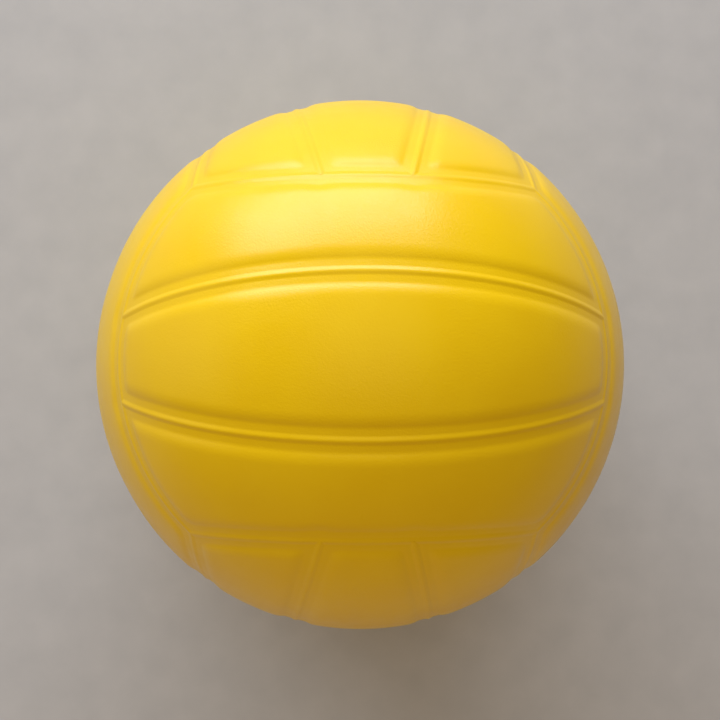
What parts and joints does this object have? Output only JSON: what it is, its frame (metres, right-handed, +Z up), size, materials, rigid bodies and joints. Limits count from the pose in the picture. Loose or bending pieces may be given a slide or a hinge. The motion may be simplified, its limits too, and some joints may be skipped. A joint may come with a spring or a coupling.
{
  "type": "playground ball",
  "caption": "Inflatable rubber playground ball with a volleyball pattern of raised strip panels, a wound carcass, a bladder and a pull-out needle valve plug.",
  "frame": {"origin": "centre of the ball", "axes": "+Z up through the middle of the top panel group; the top group's strips run along X; +Y out through the valve"},
  "size_m": [0.21, 0.21, 0.21],
  "materials": {
    "cover_rubber": "satin yellow rubber with a fine moulded grain",
    "carcass_rubber": "matt, smooth",
    "winding_thread": "wound nylon thread set in latex",
    "bladder_rubber": "matt black butyl, dusted with talc",
    "valve_seat_rubber": "smooth satin",
    "valve_plug_rubber": "smooth satin, slightly translucent cream"
  },
  "bodies": {
    "ball": {"panel_top_a": "cover_rubber", "panel_top_mid": "cover_rubber", "panel_top_b": "cover_rubber", "panel_bottom_a": "cover_rubber", "panel_bottom_mid": "cover_rubber", "panel_bottom_b": "cover_rubber", "panel_front_a": "cover_rubber", "panel_front_mid": "cover_rubber", "panel_front_b": "cover_rubber", "panel_back_a": "cover_rubber", "panel_back_mid": "cover_rubber", "panel_back_b": "cover_rubber", "panel_right_a": "cover_rubber", "panel_right_mid": "cover_rubber", "panel_right_b": "cover_rubber", "panel_left_a": "cover_rubber", "panel_left_mid": "cover_rubber", "panel_left_b": "cover_rubber", "carcass_layer": "carcass_rubber", "winding_layer": "winding_thread", "bladder": "bladder_rubber", "valve_seat": "valve_seat_rubber"},
    "valve_plug": {"valve_plug": "valve_plug_rubber"}
  },
  "joints": [
    {"name": "valve_plug_pull", "type": "slide", "parent": "ball", "child": "valve_plug", "axis": [0, 1, 0], "range_m": [0, 0.03]}
  ]
}
